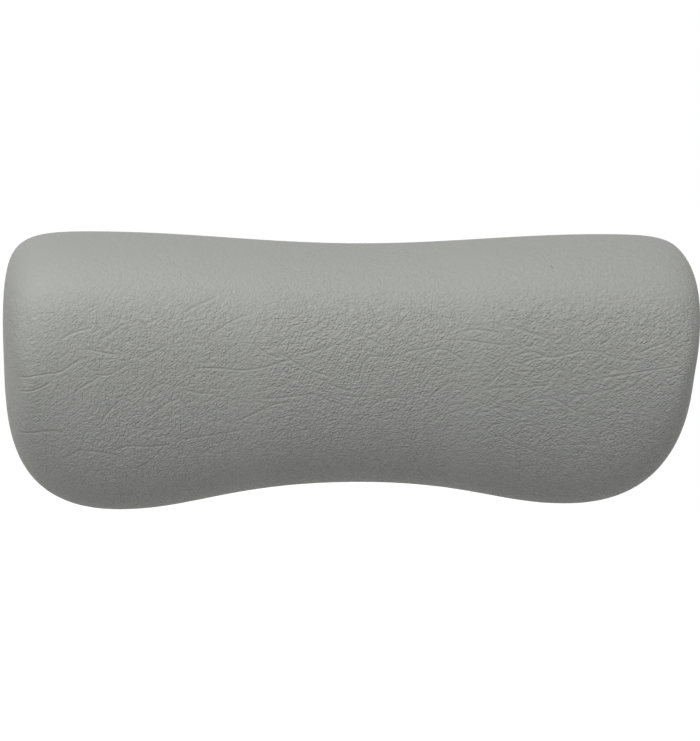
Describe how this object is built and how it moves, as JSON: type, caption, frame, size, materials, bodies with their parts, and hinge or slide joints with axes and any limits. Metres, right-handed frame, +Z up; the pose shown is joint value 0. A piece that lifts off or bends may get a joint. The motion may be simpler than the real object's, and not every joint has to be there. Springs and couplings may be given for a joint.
{
  "type": "bath pillow",
  "caption": "Moulded bath headrest: grained skin over a foam core, lobed outline, domed front and flat back, held to the tub wall by swivelling suction cups.",
  "frame": {"origin": "on the tub wall plane that the rims of the suction cups rest on, midway between the cups' axes", "axes": "+X along the pillow's length, to the right as seen from its front; +Y out of the rims towards the tub wall, so the pillow's face looks along -Y; +Z up, as the pillow hangs in use"},
  "size_m": [0.32, 0.067, 0.134],
  "materials": {
    "grained_skin": "soft matt vinyl skin with an embossed leather grain, warm mid grey",
    "panel_vinyl": "fine matt texture, slightly darker grey than the skin",
    "foam": "open-cell polyurethane foam, cream",
    "plate_nylon": "moulded, dark grey",
    "ring_nylon": "moulded, fine satin, mid-dark grey",
    "gasket_rubber": "matt black",
    "cup_vinyl": "clear soft vinyl with a faint blue-grey haze, glossy",
    "screw_steel": "stainless, bright"
  },
  "bodies": {
    "pillow": {"grain_cover": "grained_skin", "back_panel": "panel_vinyl", "foam_core": "foam", "insert_plate": "plate_nylon", "gasket_left": "gasket_rubber", "snap_ring_left": "ring_nylon", "ring_screw_left_1": "screw_steel", "ring_screw_left_2": "screw_steel", "ring_screw_left_3": "screw_steel", "ring_screw_left_4": "screw_steel", "gasket_right": "gasket_rubber", "snap_ring_right": "ring_nylon", "ring_screw_right_1": "screw_steel", "ring_screw_right_2": "screw_steel", "ring_screw_right_3": "screw_steel", "ring_screw_right_4": "screw_steel"},
    "left_cup": {"suction_cup_left": "cup_vinyl"},
    "right_cup": {"suction_cup_right": "cup_vinyl"}
  },
  "joints": [
    {"name": "left_cup_swivel", "type": "hinge", "parent": "pillow", "child": "left_cup", "pos_m": [-0.09, 0, 0], "axis": [0, 1, 0], "continuous": true},
    {"name": "right_cup_swivel", "type": "hinge", "parent": "pillow", "child": "right_cup", "pos_m": [0.09, 0, 0], "axis": [0, 1, 0], "continuous": true}
  ]
}
